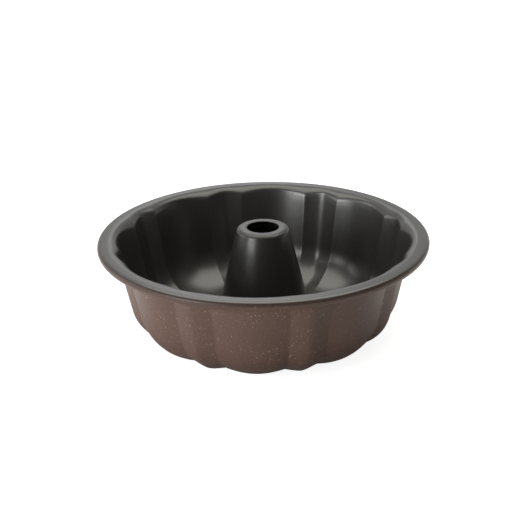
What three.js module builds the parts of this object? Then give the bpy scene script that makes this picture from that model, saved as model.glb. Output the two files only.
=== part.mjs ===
// A fluted tube cake pan of coated steel sheet: a deep drawn shell with a curled rim, and a tapered
// centre tube whose foot is folded round a collar in the shell's floor.
// Millimetres, +Z up. The origin is in the middle of the surface that the pan stands on.
import * as THREE from "three";

// Sheet
const SHEET = 0.7; // steel with its coats
const SEAM_CLEARANCE = 0.3; // between the folded sheets of the seam

// Rim
const RIM_RADIUS = 130;
const RIM_HEIGHT = 82;
const FLANGE_WIDTH = 12.5; // from the edge of the rim to the outside of the wall
const FLANGE_FILLET = 6; // on the inside, from flange to wall at the crests of the lobes
const CURL_DIAMETER = 6.6;
const CURL_TURN = 250; // degrees that the edge is rolled under

// Wall and floor
const WALL_DRAFT = 11.1; // degrees
const FADE_WIDTH = 13.2; // of the floor inside the corner, where the flutes die out
const REST_RING_WIDTH = 4; // plain ring inside that, which the pan stands on
const FLOOR_RISE = 65; // degrees, the slope of the floor where it meets the seam

// Flutes: wide and narrow lobes by turns, each of two flanks and a rounded crest, which meet in grooves
const FLUTE_PAIRS = 8;
const NARROW_LOBE = 15.9; // degrees round the pan
const FIRST_NARROW_LOBE = 17.4; // degrees from +X to its crest
const NARROW_ROUNDING = 0.12; // of the crest, as a share of half the lobe
const WIDE_ROUNDING = 0.9;
const FLUTE_DEPTH_RIM = 3.2;
const FLUTE_DEPTH_BASE = 2.8;

// Centre tube
const TUBE_RISE = 5; // from the rim up to the top of the tube
const TUBE_TOP_RADIUS = 20.3; // where top and side would meet in a sharp edge
const TUBE_TOP_ROUND = 4;
const TUBE_HOLE_RADIUS = 12.6;
const TUBE_FOOT_RADIUS = 40;

// Seam
const SEAM_LIFT = 1; // from the surface that the pan stands on up to the fold
const HOOK_HEIGHT = 3; // straight length of the folded edge

// Facets
const NARROW_STEPS = 4;
const WIDE_STEPS = 6;
const CURL_STEPS = 6;
const FILLET_STEPS = 3;
const WALL_STEPS = 3;
const CORNER_STEPS = 6;
const FADE_STEPS = 3;
const RISE_STEPS = 3;
const BEND_STEPS = 4;
const ROUND_STEPS = 3;
const FOLD_STEPS = 4;
const TUBE_SEGMENTS = 48;

const { degToRad, lerp, mapLinear, smoothstep } = THREE.MathUtils;
const HALF = SHEET / 2;
const FULL_TURN = 360;

// A point of the half-plane through the axis: x is the radius and y the height.
const point = (r, z) => new THREE.Vector2(r, z);

function onCircle(centre, radius, degrees) {
  const angle = degToRad(degrees);
  return point(centre.x + radius * Math.cos(angle), centre.y + radius * Math.sin(angle));
}

// Calls make with shares from 0 to 1.
const sweep = (steps, make) => Array.from({ length: steps + 1 }, (_, i) => make(i / steps));

// Slopes of wall and floor
const draft = degToRad(WALL_DRAFT);
const rise = degToRad(FLOOR_RISE);

// The seam, from the tube outwards: the tube's wall, the floor's collar and the tube's hook
const collarRadius = TUBE_FOOT_RADIUS + SEAM_CLEARANCE + HALF;
const foldRadius = SHEET + SEAM_CLEARANCE;
const foldHeight = SEAM_LIFT + HALF + foldRadius;
const hookTop = foldHeight + HOOK_HEIGHT;
const bendInside = SHEET + 2 * SEAM_CLEARANCE; // room for the hook under the bend of the collar
const bendCentre = point(collarRadius + HALF + bendInside, hookTop);

// The floor turns up towards the seam on an arc that runs into the bend of the collar.
const riseRadius = (hookTop + bendInside * Math.cos(rise)) / (1 - Math.cos(rise));
const riseMid = riseRadius - HALF;
const riseCentre = point(bendCentre.x + (bendInside + HALF + riseMid) * Math.sin(rise), riseRadius);
const ringRadius = riseCentre.x + REST_RING_WIDTH;

// The mid-line of the wall, which keeps to the draft
const wallRadius = RIM_RADIUS - FLANGE_WIDTH;
const wallMid = (z) => wallRadius - HALF / Math.cos(draft) - (RIM_HEIGHT - z) * Math.tan(draft);

// The corner is the arc that runs from the wall into the floor where the flutes start to die out.
const floorRadius = ringRadius + FADE_WIDTH;
const cornerMid = ((wallMid(HALF) - floorRadius) * Math.cos(draft)) / (1 - Math.sin(draft));
const cornerCentre = point(floorRadius, HALF + cornerMid);

// The fillet runs from the wall into the flange, and the flange into the curl.
const filletMid = FLANGE_FILLET - HALF;
const filletHeight = RIM_HEIGHT - FLANGE_FILLET;
const filletFoot = wallMid(filletHeight + filletMid * Math.sin(draft));
const filletCentre = point(filletFoot + filletMid * Math.cos(draft), filletHeight);
const filletGain = FLUTE_DEPTH_RIM / (1 - Math.sin(draft)); // what a groove adds to the fillet's radius
const curlMid = CURL_DIAMETER / 2 - HALF;
const curlCentre = point(RIM_RADIUS - CURL_DIAMETER / 2, RIM_HEIGHT - CURL_DIAMETER / 2);

// A point of the shell's mid-line with the shift that a groove between two lobes gives it. The tilt is
// 0 where the shift goes straight in, and 90 where it goes straight up.
const depthAt = (z) => mapLinear(z, RIM_HEIGHT, 0, FLUTE_DEPTH_RIM, FLUTE_DEPTH_BASE);
function fluted(at, tilt, depth = depthAt(at.y)) {
  return { at, groove: onCircle(point(0, 0), depth, 180 - tilt) };
}
const unfluted = (at) => fluted(at, 0, 0);

// The shell's mid-line, from the free edge of the curl to the free edge of the collar
function shellLine() {
  const curl = sweep(CURL_STEPS, (share) =>
    unfluted(onCircle(curlCentre, curlMid, lerp(90 - CURL_TURN, 90, share))),
  );
  const fillet = sweep(FILLET_STEPS, (share) => {
    const turn = lerp(90, 180 - WALL_DRAFT, share);
    const groove = onCircle(point(0, -filletGain), filletGain, turn);
    return { at: onCircle(filletCentre, filletMid, turn), groove };
  });
  const corner = sweep(CORNER_STEPS, (share) => {
    const tilt = lerp(WALL_DRAFT, 90, share);
    return fluted(onCircle(cornerCentre, cornerMid, -tilt), tilt);
  });
  const top = fillet.at(-1);
  const end = corner[0];
  const wall = sweep(WALL_STEPS, (share) => ({
    at: top.at.clone().lerp(end.at, share),
    groove: top.groove.clone().lerp(end.groove, share),
  }));
  const fade = sweep(FADE_STEPS, (share) => {
    const radius = lerp(floorRadius, ringRadius, share);
    return fluted(point(radius, HALF), 90, depthAt(HALF) * (1 - smoothstep(share, 0, 1)));
  });
  const rising = sweep(RISE_STEPS, (share) =>
    unfluted(onCircle(riseCentre, riseMid, lerp(-90, -90 - FLOOR_RISE, share))),
  );
  const bend = sweep(BEND_STEPS, (share) =>
    unfluted(onCircle(bendCentre, bendInside + HALF, lerp(90 - FLOOR_RISE, 180, share))),
  );
  const collarEnd = unfluted(point(collarRadius, foldHeight));
  return [
    ...curl,
    ...fillet,
    ...wall.slice(1, -1),
    ...corner,
    ...fade.slice(1),
    ...rising,
    ...bend.slice(1),
    collarEnd,
  ];
}

// The tube's mid-line, from the hole in its top to the free edge of the hook
function tubeLine() {
  const top = RIM_HEIGHT + TUBE_RISE;
  const taper = Math.atan2(TUBE_FOOT_RADIUS - TUBE_TOP_RADIUS, top - hookTop);
  const roundInset = TUBE_TOP_ROUND * Math.tan((Math.PI / 2 - taper) / 2);
  const roundCentre = point(TUBE_TOP_RADIUS - roundInset, top - TUBE_TOP_ROUND);
  const round = sweep(ROUND_STEPS, (share) =>
    onCircle(roundCentre, TUBE_TOP_ROUND - HALF, lerp(90, THREE.MathUtils.radToDeg(taper), share)),
  );
  const fold = sweep(FOLD_STEPS, (share) =>
    onCircle(point(collarRadius, foldHeight), foldRadius, lerp(180, FULL_TURN, share)),
  );
  return [
    point(TUBE_HOLE_RADIUS, top - HALF),
    ...round,
    point(TUBE_FOOT_RADIUS - HALF, hookTop),
    ...fold,
    point(collarRadius + foldRadius, hookTop),
  ];
}

// The line moved sideways, to its left where distance is above 0, with mitred corners
function beside(line, distance) {
  const normals = line.slice(1).map((to, i) => {
    const along = to.clone().sub(line[i]).normalize();
    return point(-along.y, along.x);
  });
  return line.map((at, i) => {
    const before = normals[Math.max(i - 1, 0)];
    const after = normals[Math.min(i, normals.length - 1)];
    const mitre = before.clone().add(after).divideScalar(1 + before.dot(after));
    return at.clone().addScaledVector(mitre, distance);
  });
}

// The closed section of a sheet: along one side of its mid-line and back along the other
const bothSides = (right, left) => [...right, ...left.toReversed(), right[0]];
const section = (line) => bothSides(beside(line, -HALF), beside(line, HALF));

// Angles round the shell, with how far each lies from the crest of its lobe (0) to the groove (1)
function spokes() {
  const pairTurn = FULL_TURN / FLUTE_PAIRS;
  const lobe = (crest, width, steps, rounding) =>
    sweep(steps, (share) => {
      const offset = lerp(-1, 1, share);
      const groove = (Math.hypot(offset, rounding) - rounding) / (Math.hypot(1, rounding) - rounding);
      return { angle: degToRad(crest + (offset * width) / 2), groove };
    }).slice(0, -1);
  return Array.from({ length: FLUTE_PAIRS }, (_, pair) => {
    const narrowCrest = FIRST_NARROW_LOBE + pair * pairTurn;
    return [
      ...lobe(narrowCrest, NARROW_LOBE, NARROW_STEPS, NARROW_ROUNDING),
      ...lobe(narrowCrest + pairTurn / 2, pairTurn - NARROW_LOBE, WIDE_STEPS, WIDE_ROUNDING),
    ];
  }).flat();
}

// The shell is its section turned round the axis, with each point shifted as its flute asks.
function shellGeometry() {
  const line = shellLine();
  const outline = section(line.map(({ at }) => at));
  const grooves = line.map(({ groove }) => groove);
  const shifts = bothSides(grooves, grooves);
  const round = spokes();
  const geometry = new THREE.LatheGeometry(outline, round.length);
  const { position } = geometry.attributes;
  for (let i = 0; i < position.count; i += 1) {
    const { angle, groove } = round[Math.floor(i / outline.length) % round.length];
    const step = i % outline.length;
    const { x: r, y: z } = outline[step].clone().addScaledVector(shifts[step], groove);
    position.setXYZ(i, r * Math.cos(angle), r * Math.sin(angle), z);
  }
  geometry.computeVertexNormals();
  return geometry;
}

const tubeGeometry = () => new THREE.LatheGeometry(section(tubeLine()), TUBE_SEGMENTS).rotateX(Math.PI / 2);

function piece(name, geometry, finish) {
  const mesh = new THREE.Mesh(geometry, new THREE.MeshStandardMaterial(finish));
  mesh.name = name;
  return mesh;
}

const cakePan = new THREE.Group();
cakePan.add(piece("fluted_shell", shellGeometry(), { color: 0x6b5349, roughness: 0.45, metalness: 0.1 }));
cakePan.add(piece("centre_tube", tubeGeometry(), { color: 0x2e2e2c, roughness: 0.4, metalness: 0.1 }));

export default cakePan;
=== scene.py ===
"""A fluted tube cake pan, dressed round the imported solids: finer sheets and their two coats, a pale floor,
soft studio light and the photograph's camera. The pan's sizes are in millimetres until a mesh is made."""
import math

import bpy
import numpy as np
from mathutils import Matrix, Vector


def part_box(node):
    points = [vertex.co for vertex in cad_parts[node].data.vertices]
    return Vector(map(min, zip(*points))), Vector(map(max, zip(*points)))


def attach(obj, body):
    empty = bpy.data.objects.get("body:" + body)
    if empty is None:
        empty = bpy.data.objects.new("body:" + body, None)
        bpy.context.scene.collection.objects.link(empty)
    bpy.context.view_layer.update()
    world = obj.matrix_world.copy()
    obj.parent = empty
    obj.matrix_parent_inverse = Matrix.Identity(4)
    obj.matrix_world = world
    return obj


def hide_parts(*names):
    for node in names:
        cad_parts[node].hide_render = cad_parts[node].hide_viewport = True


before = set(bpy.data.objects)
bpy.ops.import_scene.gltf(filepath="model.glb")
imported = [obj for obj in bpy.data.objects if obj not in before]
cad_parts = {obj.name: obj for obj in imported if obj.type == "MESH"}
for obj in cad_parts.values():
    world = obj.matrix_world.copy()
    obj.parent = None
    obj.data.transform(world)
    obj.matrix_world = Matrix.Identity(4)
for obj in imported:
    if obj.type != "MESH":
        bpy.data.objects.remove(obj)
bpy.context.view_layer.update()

MM = 0.001
WHITE = (1.0, 1.0, 1.0)
WARM_WHITE = (1.0, 0.97, 0.88)

# Sheet
SHEET = 0.7
HALF = SHEET / 2
SEAM_CLEARANCE = 0.3

# Rim
RIM_RADIUS = 130.0
RIM_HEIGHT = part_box("fluted_shell")[1].z / MM
FLANGE_WIDTH = 12.5
FLANGE_FILLET = 6.0
CURL_DIAMETER = 6.6
CURL_TURN = 250.0
COAT_EDGE = 55.0  # degrees up the curl's outside, where the inside coat ends
CURL_SHADE_END = -43.0  # degrees, where the painted shade on the curl below that edge ends

# Wall and floor
WALL_DRAFT = 11.1
FADE_WIDTH = 13.2
REST_RING_WIDTH = 4.0
FLOOR_RISE = 65.0

# Flutes
FLUTE_PAIRS = 8
PAIR_TURN = 360.0 / FLUTE_PAIRS
NARROW_LOBE = 15.9
FIRST_NARROW_LOBE = 17.4
NARROW_ROUNDING = 0.12
WIDE_ROUNDING = 0.9
FLUTE_DEPTH_RIM = 3.2
FLUTE_DEPTH_BASE = 2.8
GROOVE_SOFTNESS = 0.8  # degrees to each side over which a groove is rounded
SOFTNESS_SAMPLES = 33

# Centre tube
TUBE_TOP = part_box("centre_tube")[1].z / MM
TUBE_TOP_RADIUS = 20.3
TUBE_TOP_ROUND = 4.0
TUBE_HOLE_RADIUS = 12.6
TUBE_FOOT_RADIUS = 40.0
SEAM_LIFT = 1.0
HOOK_HEIGHT = 3.0

# Steps of the meshes
CURL_STEPS = 20
FLANGE_STEPS = 3
FILLET_STEPS = 9
WALL_STEPS = 8
CORNER_STEPS = 18
FADE_STEPS = 8
RISE_STEPS = 6
BEND_STEPS = 6
FOLD_STEPS = 8
ROUND_STEPS = 8
TUBE_TOP_STEPS = 2
CONE_STEPS = 6
EDGE_STEPS = 4
NARROW_STEPS = 24
WIDE_STEPS = 28
TUBE_SPOKES = 160

# Noise in the coats: a scale is a count of features to a metre
NOISE_SPREAD = (0.3, 0.7)  # where most of a noise's values lie
CLOUD_DETAIL = 3.0
GRAIN_SCALE = 420.0
GRAIN_DETAIL = 2.0
PEEL_DETAIL = 1.0

# Inside coat: colours are linear, and a gloss is an index of refraction
GREY_DARK = (0.0125, 0.0121, 0.0108)
GREY_LIGHT = (0.0155, 0.015, 0.0134)
GREY_CLOUD_SCALE = 35.0
GREY_ROUGHNESS = (0.28, 0.34)
GREY_PEEL_SCALE = 900.0
GREY_PEEL_HEIGHT = 0.01
SHELL_GLOSS = 1.62
TUBE_GLOSS = 1.46

# Outside coat
BROWN_DARK = (0.123, 0.074, 0.0575)
BROWN_LIGHT = (0.137, 0.083, 0.065)
BROWN_CLOUD_SCALE = 30.0
BROWN_ROUGHNESS = (0.33, 0.4)
BROWN_PEEL_SCALE = 700.0
BROWN_PEEL_HEIGHT = 0.012
BROWN_GLOSS = 1.33
# painted shade: a dark brown laid on the curl's top, below the inside coat's edge
CURL_SHADE_COLOUR = (0.025, 0.0165, 0.013)

# Its specks, strewn in patches
SPECK_COLOUR = (0.5, 0.39, 0.32)
FINE_SPECK_SCALE = 640.0
FINE_SPECK_RADIUS = 0.32
FINE_SPECK_STRENGTH = 0.65
LARGE_SPECK_SCALE = 280.0
LARGE_SPECK_RADIUS = 0.48
LARGE_SPECK_STRENGTH = 1.0
PATCH_SCALE = 28.0
PATCH_SPREAD = (0.42, 0.6)  # noise values between a patch with faint specks and one with full ones
FAINT_SHARE = 0.4

# Studio: a glow is a share of white, and a reach is a part of a direction's unit length
BACKDROP_REACH = 0.5
BACKDROP_GLOW = 0.75
ROOM_REACH = 0.8
ROOM_LEFT_GLOW = 0.35
ROOM_RIGHT_GLOW = 0.07

# Floor, in metres, with distances from the pan's axis
FLOOR_HALF = 4.0
FLOOR_DROP = 0.0002  # keeps it out of the plane of the ring that the pan stands on
FLOOR_PAINT = (0.5, 0.5, 0.5, 1.0)
HOLLOW_EDGE = (0.05, 0.056)  # no glow within it, under the tube
FOOT_EDGE = (0.115, 0.21)  # the pan mirrors no glow from within it
SHADOW_EDGE = (0.15, 0.5)  # the glow is dimmed within it, so that the shadow shows
SHADOW_GLOW = 0.88

# The photograph's camera, from the middle of the rim's top plane
IMAGE_SIDE = 515.0
FOCAL_LENGTH = 980.0  # pixels
SENSOR_WIDTH = 36.0
CAMERA_DISTANCE = 774.14
CAMERA_ELEVATION = 21.342
CAMERA_ROLL = -1.06
RIM_CENTRE_PIXEL = (262.944, 232.75)


def on_circle(centre, radius, degrees):
    angle = np.radians(degrees)
    return np.stack([centre[0] + radius * np.cos(angle), centre[1] + radius * np.sin(angle)], axis=-1)


def arc(centre, radius, start, end, steps):
    return on_circle(centre, radius, np.linspace(start, end, steps + 1))


def straight(start, end, steps):
    return np.linspace(start, end, steps + 1)


# Slopes of wall and floor
DRAFT = math.radians(WALL_DRAFT)
RISE = math.radians(FLOOR_RISE)

# The seam, from the tube outwards: the tube's wall, the floor's collar and the tube's hook
COLLAR_RADIUS = TUBE_FOOT_RADIUS + SEAM_CLEARANCE + HALF
FOLD_RADIUS = SHEET + SEAM_CLEARANCE
FOLD_HEIGHT = SEAM_LIFT + HALF + FOLD_RADIUS
HOOK_TOP = FOLD_HEIGHT + HOOK_HEIGHT
BEND_INSIDE = SHEET + 2 * SEAM_CLEARANCE
BEND_CENTRE = (COLLAR_RADIUS + HALF + BEND_INSIDE, HOOK_TOP)

# The floor's turn up to the seam, the ring that the pan stands on and the floor round it
RISE_RADIUS = (HOOK_TOP + BEND_INSIDE * math.cos(RISE)) / (1 - math.cos(RISE))
RISE_MID = RISE_RADIUS - HALF
RISE_CENTRE = (BEND_CENTRE[0] + (BEND_INSIDE + HALF + RISE_MID) * math.sin(RISE), RISE_RADIUS)
RING_RADIUS = RISE_CENTRE[0] + REST_RING_WIDTH
FLOOR_RADIUS = RING_RADIUS + FADE_WIDTH


def wall_mid(z):
    """Radius of the wall's mid-line at a height."""
    outside = RIM_RADIUS - FLANGE_WIDTH
    return outside - HALF / math.cos(DRAFT) - (RIM_HEIGHT - z) * math.tan(DRAFT)


# Mid-lines of the corner at the wall's foot, of the fillet under the flange and of the curl
CORNER_MID = (wall_mid(HALF) - FLOOR_RADIUS) * math.cos(DRAFT) / (1 - math.sin(DRAFT))
CORNER_CENTRE = (FLOOR_RADIUS, HALF + CORNER_MID)
FILLET_MID = FLANGE_FILLET - HALF
FILLET_HEIGHT = RIM_HEIGHT - FLANGE_FILLET
FILLET_CENTRE = (
    wall_mid(FILLET_HEIGHT + FILLET_MID * math.sin(DRAFT)) + FILLET_MID * math.cos(DRAFT),
    FILLET_HEIGHT,
)
FILLET_GAIN = FLUTE_DEPTH_RIM / (1 - math.sin(DRAFT))
CURL_MID = CURL_DIAMETER / 2 - HALF
CURL_CENTRE = (RIM_RADIUS - CURL_DIAMETER / 2, RIM_HEIGHT - CURL_DIAMETER / 2)


def shell_line():
    """The shell's mid-line from the curl's edge to the collar's edge, how a groove shifts it, and the step at
    which the inside coat begins."""
    curl_start = 90 - CURL_TURN
    before_edge = round(CURL_STEPS * (COAT_EDGE - curl_start) / CURL_TURN)
    curl = np.concatenate([
        arc(CURL_CENTRE, CURL_MID, curl_start, COAT_EDGE, before_edge),
        arc(CURL_CENTRE, CURL_MID, COAT_EDGE, 90, CURL_STEPS - before_edge)[1:],
    ])
    fillet = arc(FILLET_CENTRE, FILLET_MID, 90, 180 - WALL_DRAFT, FILLET_STEPS)
    flange = straight(curl[-1], fillet[0], FLANGE_STEPS)[1:-1]
    fillet_shift = arc((0, -FILLET_GAIN), FILLET_GAIN, 90, 180 - WALL_DRAFT, FILLET_STEPS)
    tilts = np.linspace(WALL_DRAFT, 90, CORNER_STEPS + 1)
    corner = on_circle(CORNER_CENTRE, CORNER_MID, -tilts)
    depths = np.interp(corner[:, 1], [0, RIM_HEIGHT], [FLUTE_DEPTH_BASE, FLUTE_DEPTH_RIM])
    corner_shift = on_circle((0, 0), 1, 180 - tilts) * depths[:, None]
    wall = straight(fillet[-1], corner[0], WALL_STEPS)[1:-1]
    wall_shift = straight(fillet_shift[-1], corner_shift[0], WALL_STEPS)[1:-1]
    fade = straight((FLOOR_RADIUS, HALF), (RING_RADIUS, HALF), FADE_STEPS)[1:]
    share = np.linspace(1, 0, FADE_STEPS + 1)[1:, None]
    fade_shift = corner_shift[-1] * share * share * (3 - 2 * share)
    rising = arc(RISE_CENTRE, RISE_MID, -90, -90 - FLOOR_RISE, RISE_STEPS)
    bend = arc(BEND_CENTRE, BEND_INSIDE + HALF, 90 - FLOOR_RISE, 180, BEND_STEPS)[1:]
    collar_end = np.array([[COLLAR_RADIUS, FOLD_HEIGHT]])
    stretches = (
        (curl, None),
        (flange, None),
        (fillet, fillet_shift),
        (wall, wall_shift),
        (corner, corner_shift),
        (fade, fade_shift),
        (rising, None),
        (bend, None),
        (collar_end, None),
    )
    line = np.concatenate([at for at, _ in stretches])
    shift = np.concatenate([np.zeros_like(at) if by is None else by for at, by in stretches])
    return line, shift, before_edge


def tube_line():
    """The tube's mid-line from the hole in its top to the edge of the hook."""
    taper = math.atan2(TUBE_FOOT_RADIUS - TUBE_TOP_RADIUS, TUBE_TOP - HOOK_TOP)
    inset = TUBE_TOP_ROUND * math.tan((math.pi / 2 - taper) / 2)
    round_centre = (TUBE_TOP_RADIUS - inset, TUBE_TOP - TUBE_TOP_ROUND)
    top_round = arc(round_centre, TUBE_TOP_ROUND - HALF, 90, math.degrees(taper), ROUND_STEPS)
    top = straight((TUBE_HOLE_RADIUS, TUBE_TOP - HALF), top_round[0], TUBE_TOP_STEPS)[:-1]
    cone = straight(top_round[-1], (TUBE_FOOT_RADIUS - HALF, HOOK_TOP), CONE_STEPS)[1:]
    fold = arc((COLLAR_RADIUS, FOLD_HEIGHT), FOLD_RADIUS, 180, 360, FOLD_STEPS)
    hook_end = np.array([[COLLAR_RADIUS + FOLD_RADIUS, HOOK_TOP]])
    return np.concatenate([top, top_round, cone, fold, hook_end])


def sheet_section(line, shift):
    """The closed section of a sheet with rounded edges: its right side, the last edge, its left side and the
    first edge. Returns the points, their shifts and where the left side begins."""
    along = np.gradient(line, axis=0)
    along /= np.linalg.norm(along, axis=1)[:, None]
    left = np.stack([-along[:, 1], along[:, 0]], axis=1) * HALF
    line = line.copy()
    line[0] += along[0] * HALF
    line[-1] -= along[-1] * HALF

    def edge(end, outward, side):
        turns = np.linspace(0, math.pi, EDGE_STEPS + 1)[1:-1, None]
        return line[end] + side * np.cos(turns) + outward * np.sin(turns)

    last = edge(-1, along[-1] * HALF, -left[-1])
    first = edge(0, -along[0] * HALF, left[0])
    points = np.concatenate([line - left, last, (line + left)[::-1], first])
    shifts = np.concatenate([
        shift,
        np.repeat(shift[-1:], len(last), 0),
        shift[::-1],
        np.repeat(shift[:1], len(first), 0),
    ])
    return points, shifts, len(line) + len(last)


def lobe_groove(offset, rounding):
    """How far a point lies from the crest of its lobe (0) to the groove (1)."""
    return (np.hypot(offset, rounding) - rounding) / (math.hypot(1, rounding) - rounding)


def groove_at(degrees):
    """The groove's share at angles from the crest of a narrow lobe, with rounded grooves."""
    reach = np.linspace(-1, 1, SOFTNESS_SAMPLES)
    weights = np.cos(reach * math.pi / 2) ** 2
    turned = np.asarray(degrees)[:, None] + GROOVE_SOFTNESS * reach
    from_narrow = np.abs((turned + PAIR_TURN / 2) % PAIR_TURN - PAIR_TURN / 2)
    narrow = lobe_groove(from_narrow / (NARROW_LOBE / 2), NARROW_ROUNDING)
    wide = lobe_groove((PAIR_TURN / 2 - from_narrow) / ((PAIR_TURN - NARROW_LOBE) / 2), WIDE_ROUNDING)
    share = np.where(from_narrow < NARROW_LOBE / 2, narrow, wide)
    return (share * weights).sum(axis=1) / weights.sum()


def spokes():
    """Angles round the shell in degrees, closest together at the grooves, and the groove's share at each."""
    def lobe(crest, width, steps):
        turns = np.linspace(-1, 1, steps + 1)[:-1]
        return crest + width / 2 * np.sin(turns * math.pi / 2)

    pair = np.concatenate([
        lobe(0, NARROW_LOBE, NARROW_STEPS),
        lobe(PAIR_TURN / 2, PAIR_TURN - NARROW_LOBE, WIDE_STEPS),
    ])
    turns = (pair[None, :] + PAIR_TURN * np.arange(FLUTE_PAIRS)[:, None]).ravel()
    return FIRST_NARROW_LOBE + turns, groove_at(turns)


def turned_mesh(name, points, angles, shifts, grooves):
    """A closed mesh: a closed section taken round the axis, each point shifted by its spoke's groove."""
    around, rounds = len(points), len(angles)
    at = points[None] + shifts[None] * grooves[:, None, None]
    turn = np.radians(angles)[:, None]
    places = np.stack([at[..., 0] * np.cos(turn), at[..., 0] * np.sin(turn), at[..., 1]], axis=-1) * MM
    here = np.arange(rounds * around).reshape(rounds, around)
    beyond = np.roll(here, -1, axis=0)
    faces = np.stack([here, beyond, np.roll(beyond, -1, axis=1), np.roll(here, -1, axis=1)], axis=-1)
    mesh = bpy.data.meshes.new(name)
    mesh.from_pydata(places.reshape(-1, 3).tolist(), [], faces.reshape(-1, 4).tolist())
    mesh.polygons.foreach_set("use_smooth", np.ones(rounds * around, bool))
    piece = bpy.data.objects.new(name, mesh)
    bpy.context.scene.collection.objects.link(piece)
    return piece


def coat_sides(piece, rounds, outside, inside, is_inside):
    """Two finishes on one sheet: is_inside tells for each face of the section which of them it has."""
    piece.data.materials.append(outside)
    piece.data.materials.append(inside)
    piece.data.polygons.foreach_set("material_index", np.tile(is_inside.astype(np.int32), rounds))
    piece.data.update()


def add_node(tree, kind, **settings):
    """A shader node, with its properties and the values of its sockets set by name."""
    node = tree.nodes.new("ShaderNode" + kind)
    for key, value in settings.items():
        if hasattr(node, key):
            setattr(node, key, value)
        else:
            node.inputs[key].default_value = value
    return node


def noise(tree, coordinates, scale, detail):
    node = add_node(tree, "TexNoise", Scale=scale, Detail=detail)
    tree.links.new(coordinates, node.inputs["Vector"])
    return node.outputs["Fac"]


def ramp(tree, value, low, high, to_low, to_high):
    """A value that goes from to_low to to_high while another goes from low to high."""
    node = add_node(tree, "MapRange")
    for socket, number in zip(("From Min", "From Max", "To Min", "To Max"), (low, high, to_low, to_high)):
        node.inputs[socket].default_value = number
    tree.links.new(value, node.inputs["Value"])
    return node.outputs["Result"]


def mix_colour(tree, factor, first, second):
    node = add_node(tree, "Mix", data_type="RGBA")
    for socket, value in (("A", first), ("B", second)):
        target = [s for s in node.inputs if s.name == socket and s.type == "RGBA"][0]
        if isinstance(value, tuple):
            target.default_value = (*value, 1.0)
        else:
            tree.links.new(value, target)
    tree.links.new(factor, node.inputs["Factor"])
    return [s for s in node.outputs if s.type == "RGBA"][0]


def combine(tree, operation, first, second):
    node = add_node(tree, "Math", operation=operation)
    tree.links.new(first, node.inputs[0])
    tree.links.new(second, node.inputs[1])
    return node.outputs["Value"]


def either(tree, first, second):
    return combine(tree, "MAXIMUM", first, second)


def times(tree, first, second):
    return combine(tree, "MULTIPLY", first, second)


def mirrored(tree, light):
    """Whether a ray was mirrored or let through by a surface."""
    return either(tree, light.outputs["Is Glossy Ray"], light.outputs["Is Transmission Ray"])


def new_material(name):
    material = bpy.data.materials.new(name)
    material.use_nodes = True
    tree = material.node_tree
    tree.nodes.clear()
    shader = add_node(tree, "BsdfPrincipled")
    output = add_node(tree, "OutputMaterial")
    tree.links.new(shader.outputs["BSDF"], output.inputs["Surface"])
    coordinates = add_node(tree, "TexCoord").outputs["Object"]
    return material, tree, shader, coordinates


def clouds(tree, coordinates, scale):
    """Soft clouds, from 0 to 1."""
    return ramp(tree, noise(tree, coordinates, scale, CLOUD_DETAIL), *NOISE_SPREAD, 0.0, 1.0)


def grain(tree, shader, coordinates, roughness):
    """Roughness that changes in fine grains between two values."""
    grains = ramp(tree, noise(tree, coordinates, GRAIN_SCALE, GRAIN_DETAIL), *NOISE_SPREAD, *roughness)
    tree.links.new(grains, shader.inputs["Roughness"])


def peel(tree, shader, coordinates, scale, height):
    """The faint orange peel of a sprayed and baked coat."""
    bump = add_node(tree, "Bump", Strength=1.0, Distance=height * MM)
    tree.links.new(noise(tree, coordinates, scale, PEEL_DETAIL), bump.inputs["Height"])
    tree.links.new(bump.outputs["Normal"], shader.inputs["Normal"])


def inside_coat(name, gloss):
    """Dark grey non-stick coat with a satin finish."""
    material, tree, shader, coordinates = new_material(name)
    colour = mix_colour(tree, clouds(tree, coordinates, GREY_CLOUD_SCALE), GREY_DARK, GREY_LIGHT)
    tree.links.new(colour, shader.inputs["Base Color"])
    shader.inputs["IOR"].default_value = gloss
    grain(tree, shader, coordinates, GREY_ROUGHNESS)
    peel(tree, shader, coordinates, GREY_PEEL_SCALE, GREY_PEEL_HEIGHT)
    return material


def specks(tree, coordinates, scale, radius, strength):
    """Round specks where points strewn through space, so many to a metre, come near the surface."""
    cells = add_node(tree, "TexVoronoi", Scale=scale, feature="F1")
    tree.links.new(coordinates, cells.inputs["Vector"])
    edge = radius * MM * scale
    return ramp(tree, cells.outputs["Distance"], edge / 2, edge, strength, 0.0)


def strewn_specks(tree, coordinates):
    """A few large specks and many fine ones, fainter between the patches that they are strewn in."""
    fine = specks(tree, coordinates, FINE_SPECK_SCALE, FINE_SPECK_RADIUS, FINE_SPECK_STRENGTH)
    large = specks(tree, coordinates, LARGE_SPECK_SCALE, LARGE_SPECK_RADIUS, LARGE_SPECK_STRENGTH)
    patches = noise(tree, coordinates, PATCH_SCALE, GRAIN_DETAIL)
    return times(tree, either(tree, fine, large), ramp(tree, patches, *PATCH_SPREAD, FAINT_SHARE, 1.0))


def painted_curl_shade(tree, coordinates):
    """Painted shade on the curl below the inside coat's edge: full at that edge, fading out downwards."""
    def height(degrees):
        return (CURL_CENTRE[1] + CURL_DIAMETER / 2 * math.sin(math.radians(degrees))) * MM

    split = add_node(tree, "SeparateXYZ")
    tree.links.new(coordinates, split.inputs["Vector"])
    return ramp(tree, split.outputs["Z"], height(CURL_SHADE_END), height(COAT_EDGE), 0.0, 1.0)


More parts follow.
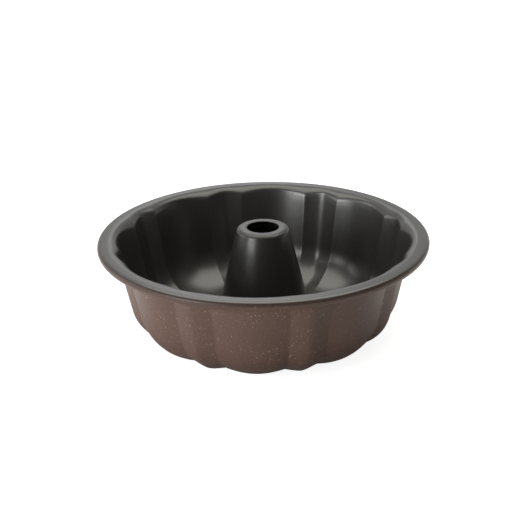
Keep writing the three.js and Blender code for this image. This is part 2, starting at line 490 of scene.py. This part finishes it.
def outside_coat():
    """Satin brown coat with pale specks, and painted shade on the curl below the edge of the inside coat."""
    material, tree, shader, coordinates = new_material("outside_coat_brown")
    brown = mix_colour(tree, clouds(tree, coordinates, BROWN_CLOUD_SCALE), BROWN_DARK, BROWN_LIGHT)
    speckled = mix_colour(tree, strewn_specks(tree, coordinates), brown, SPECK_COLOUR)
    # painted shade on the curl, darkest just below the inside coat's edge
    colour = mix_colour(tree, painted_curl_shade(tree, coordinates), speckled, CURL_SHADE_COLOUR)
    tree.links.new(colour, shader.inputs["Base Color"])
    shader.inputs["IOR"].default_value = BROWN_GLOSS
    grain(tree, shader, coordinates, BROWN_ROUGHNESS)
    peel(tree, shader, coordinates, BROWN_PEEL_SCALE, BROWN_PEEL_HEIGHT)
    return material


def make_shell(outside, inside):
    line, shift, coat_edge = shell_line()
    points, shifts, left_start = sheet_section(line, shift)
    angles, grooves = spokes()
    piece = turned_mesh("pan_shell", points, angles, shifts, grooves)
    step = np.arange(len(points))
    coat_sides(piece, len(angles), outside, inside, (step >= coat_edge) & (step < left_start - 1))
    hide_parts("fluted_shell")
    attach(piece, "root")


def make_tube(coat):
    line = tube_line()
    points, shifts, _ = sheet_section(line, np.zeros_like(line))
    angles = np.linspace(0, 360, TUBE_SPOKES, endpoint=False)
    piece = turned_mesh("pan_tube", points, angles, shifts, np.zeros(TUBE_SPOKES))
    piece.data.materials.append(coat)
    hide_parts("centre_tube")
    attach(piece, "root")


def turn_pair(first, second, angle):
    """Two directions at right angles, both turned in their plane from the first towards the second."""
    turned_first = first * math.cos(angle) + second * math.sin(angle)
    turned_second = second * math.cos(angle) - first * math.sin(angle)
    return turned_first, turned_second


def make_camera():
    """The camera looks at the rim's middle from the front, then turns so that it falls on its pixel."""
    tilt = math.radians(CAMERA_ELEVATION)
    roll = math.radians(CAMERA_ROLL)
    aside = (Vector(RIM_CENTRE_PIXEL) - Vector((IMAGE_SIDE / 2, IMAGE_SIDE / 2))) / FOCAL_LENGTH
    turned = Matrix.Rotation(-roll, 2) @ aside
    yaw = math.atan(turned.x)
    pitch = math.atan(-turned.y / math.hypot(1, turned.x))
    right = Vector((1, 0, 0))
    ahead = Vector((0, math.cos(tilt), -math.sin(tilt)))
    up = Vector((0, math.sin(tilt), math.cos(tilt)))
    place = Vector((0, 0, RIM_HEIGHT)) - ahead * CAMERA_DISTANCE
    right, ahead = turn_pair(right, ahead, yaw)
    up, ahead = turn_pair(up, ahead, pitch)
    right, up = turn_pair(right, up, roll)
    data = bpy.data.cameras.new("photo_camera")
    data.sensor_width = SENSOR_WIDTH
    data.lens = SENSOR_WIDTH * FOCAL_LENGTH / IMAGE_SIDE
    camera = bpy.data.objects.new("photo_camera", data)
    camera.matrix_world = Matrix.Translation(place * MM) @ Matrix((right, up, -ahead)).transposed().to_4x4()
    bpy.context.scene.collection.objects.link(camera)
    bpy.context.scene.camera = camera


def softbox(name, azimuth, elevation, distance, size, glow, colour=WHITE):
    """A rectangular soft light that faces the pan, as bright as glow times white. Azimuth runs to the right
    from the viewer, in degrees, and lengths are in metres."""
    data = bpy.data.lights.new(name, "AREA")
    data.shape = "RECTANGLE"
    data.size, data.size_y = size
    data.energy = math.pi * size[0] * size[1] * glow
    data.color = colour
    lamp = bpy.data.objects.new(name, data)
    turn = math.radians(azimuth)
    lift = math.radians(elevation)
    way = Vector((math.sin(turn) * math.cos(lift), -math.cos(turn) * math.cos(lift), math.sin(lift)))
    target = Vector((0, 0, RIM_HEIGHT / 2 * MM))
    lamp.location = target + way * distance
    lamp.rotation_euler = way.to_track_quat("Z", "Y").to_euler()
    bpy.context.scene.collection.objects.link(lamp)


def make_lights():
    softbox("key_left", azimuth=-49.0, elevation=15.0, distance=1.6, size=(0.8, 0.75), glow=9.0)
    softbox("side_left", azimuth=-95.0, elevation=15.0, distance=1.6, size=(0.9, 0.7), glow=2.8)
    softbox(
        "overhead", azimuth=180.0, elevation=86.0, distance=0.5, size=(0.8, 0.52), glow=3.1, colour=WARM_WHITE
    )
    softbox("fill_right", azimuth=100.0, elevation=4.0, distance=1.6, size=(1.2, 0.25), glow=1.0)
    softbox("rear", azimuth=-177.0, elevation=30.0, distance=1.6, size=(0.45, 0.6), glow=1.25)


def make_world():
    """White for the camera, and a dim studio with a white backdrop behind the pan for everything else."""
    world = bpy.data.worlds.new("studio")
    world.use_nodes = True
    tree = world.node_tree
    tree.nodes.clear()
    split = add_node(tree, "SeparateXYZ")
    tree.links.new(add_node(tree, "TexCoord").outputs["Generated"], split.inputs["Vector"])
    behind = ramp(tree, split.outputs["Y"], 0.0, BACKDROP_REACH, 0.0, BACKDROP_GLOW)
    room = ramp(tree, split.outputs["X"], -ROOM_REACH, ROOM_REACH, ROOM_LEFT_GLOW, ROOM_RIGHT_GLOW)
    light = add_node(tree, "LightPath")
    seen = either(tree, light.outputs["Is Camera Ray"], times(tree, mirrored(tree, light), behind))
    background = add_node(tree, "Background", Strength=1.0)
    tree.links.new(mix_colour(tree, seen, room, WHITE), background.inputs["Color"])
    output = add_node(tree, "OutputWorld")
    tree.links.new(background.outputs["Background"], output.inputs["Surface"])
    bpy.context.scene.world = world


def floor_white():
    """White paint, to which a glow is added for the camera and for what the pan mirrors."""
    material = bpy.data.materials.new("floor_white")
    material.use_nodes = True
    tree = material.node_tree
    tree.nodes.clear()
    away = add_node(tree, "VectorMath", operation="LENGTH")
    tree.links.new(add_node(tree, "TexCoord").outputs["Object"], away.inputs[0])
    distance = away.outputs["Value"]
    whiteness = ramp(tree, distance, *SHADOW_EDGE, SHADOW_GLOW, 1.0)
    past_hollow = ramp(tree, distance, *HOLLOW_EDGE, 0.0, 1.0)
    past_foot = ramp(tree, distance, *FOOT_EDGE, 0.0, 1.0)
    light = add_node(tree, "LightPath")
    camera_ray = light.outputs["Is Camera Ray"]
    shown = times(tree, past_hollow, either(tree, camera_ray, past_foot))
    paint = add_node(tree, "BsdfDiffuse", Color=FLOOR_PAINT)
    glow = add_node(tree, "Emission")
    tree.links.new(times(tree, whiteness, shown), glow.inputs["Strength"])
    lit = add_node(tree, "AddShader")
    tree.links.new(paint.outputs["BSDF"], lit.inputs[0])
    tree.links.new(glow.outputs["Emission"], lit.inputs[1])
    choice = add_node(tree, "MixShader")
    tree.links.new(either(tree, camera_ray, mirrored(tree, light)), choice.inputs["Fac"])
    tree.links.new(paint.outputs["BSDF"], choice.inputs[1])
    tree.links.new(lit.outputs["Shader"], choice.inputs[2])
    output = add_node(tree, "OutputMaterial")
    tree.links.new(choice.outputs["Shader"], output.inputs["Surface"])
    return material


def make_floor():
    corners = [
        (-FLOOR_HALF, -FLOOR_HALF, 0),
        (FLOOR_HALF, -FLOOR_HALF, 0),
        (FLOOR_HALF, FLOOR_HALF, 0),
        (-FLOOR_HALF, FLOOR_HALF, 0),
    ]
    mesh = bpy.data.meshes.new("floor")
    mesh.from_pydata(corners, [], [(0, 1, 2, 3)])
    mesh.materials.append(floor_white())
    floor = bpy.data.objects.new("floor", mesh)
    floor.location.z = -FLOOR_DROP
    bpy.context.scene.collection.objects.link(floor)


bpy.context.scene.view_settings.view_transform = "Standard"
make_camera()
make_shell(outside_coat(), inside_coat("inside_coat_grey", SHELL_GLOSS))
make_tube(inside_coat("tube_coat_grey", TUBE_GLOSS))
make_floor()
make_world()
make_lights()
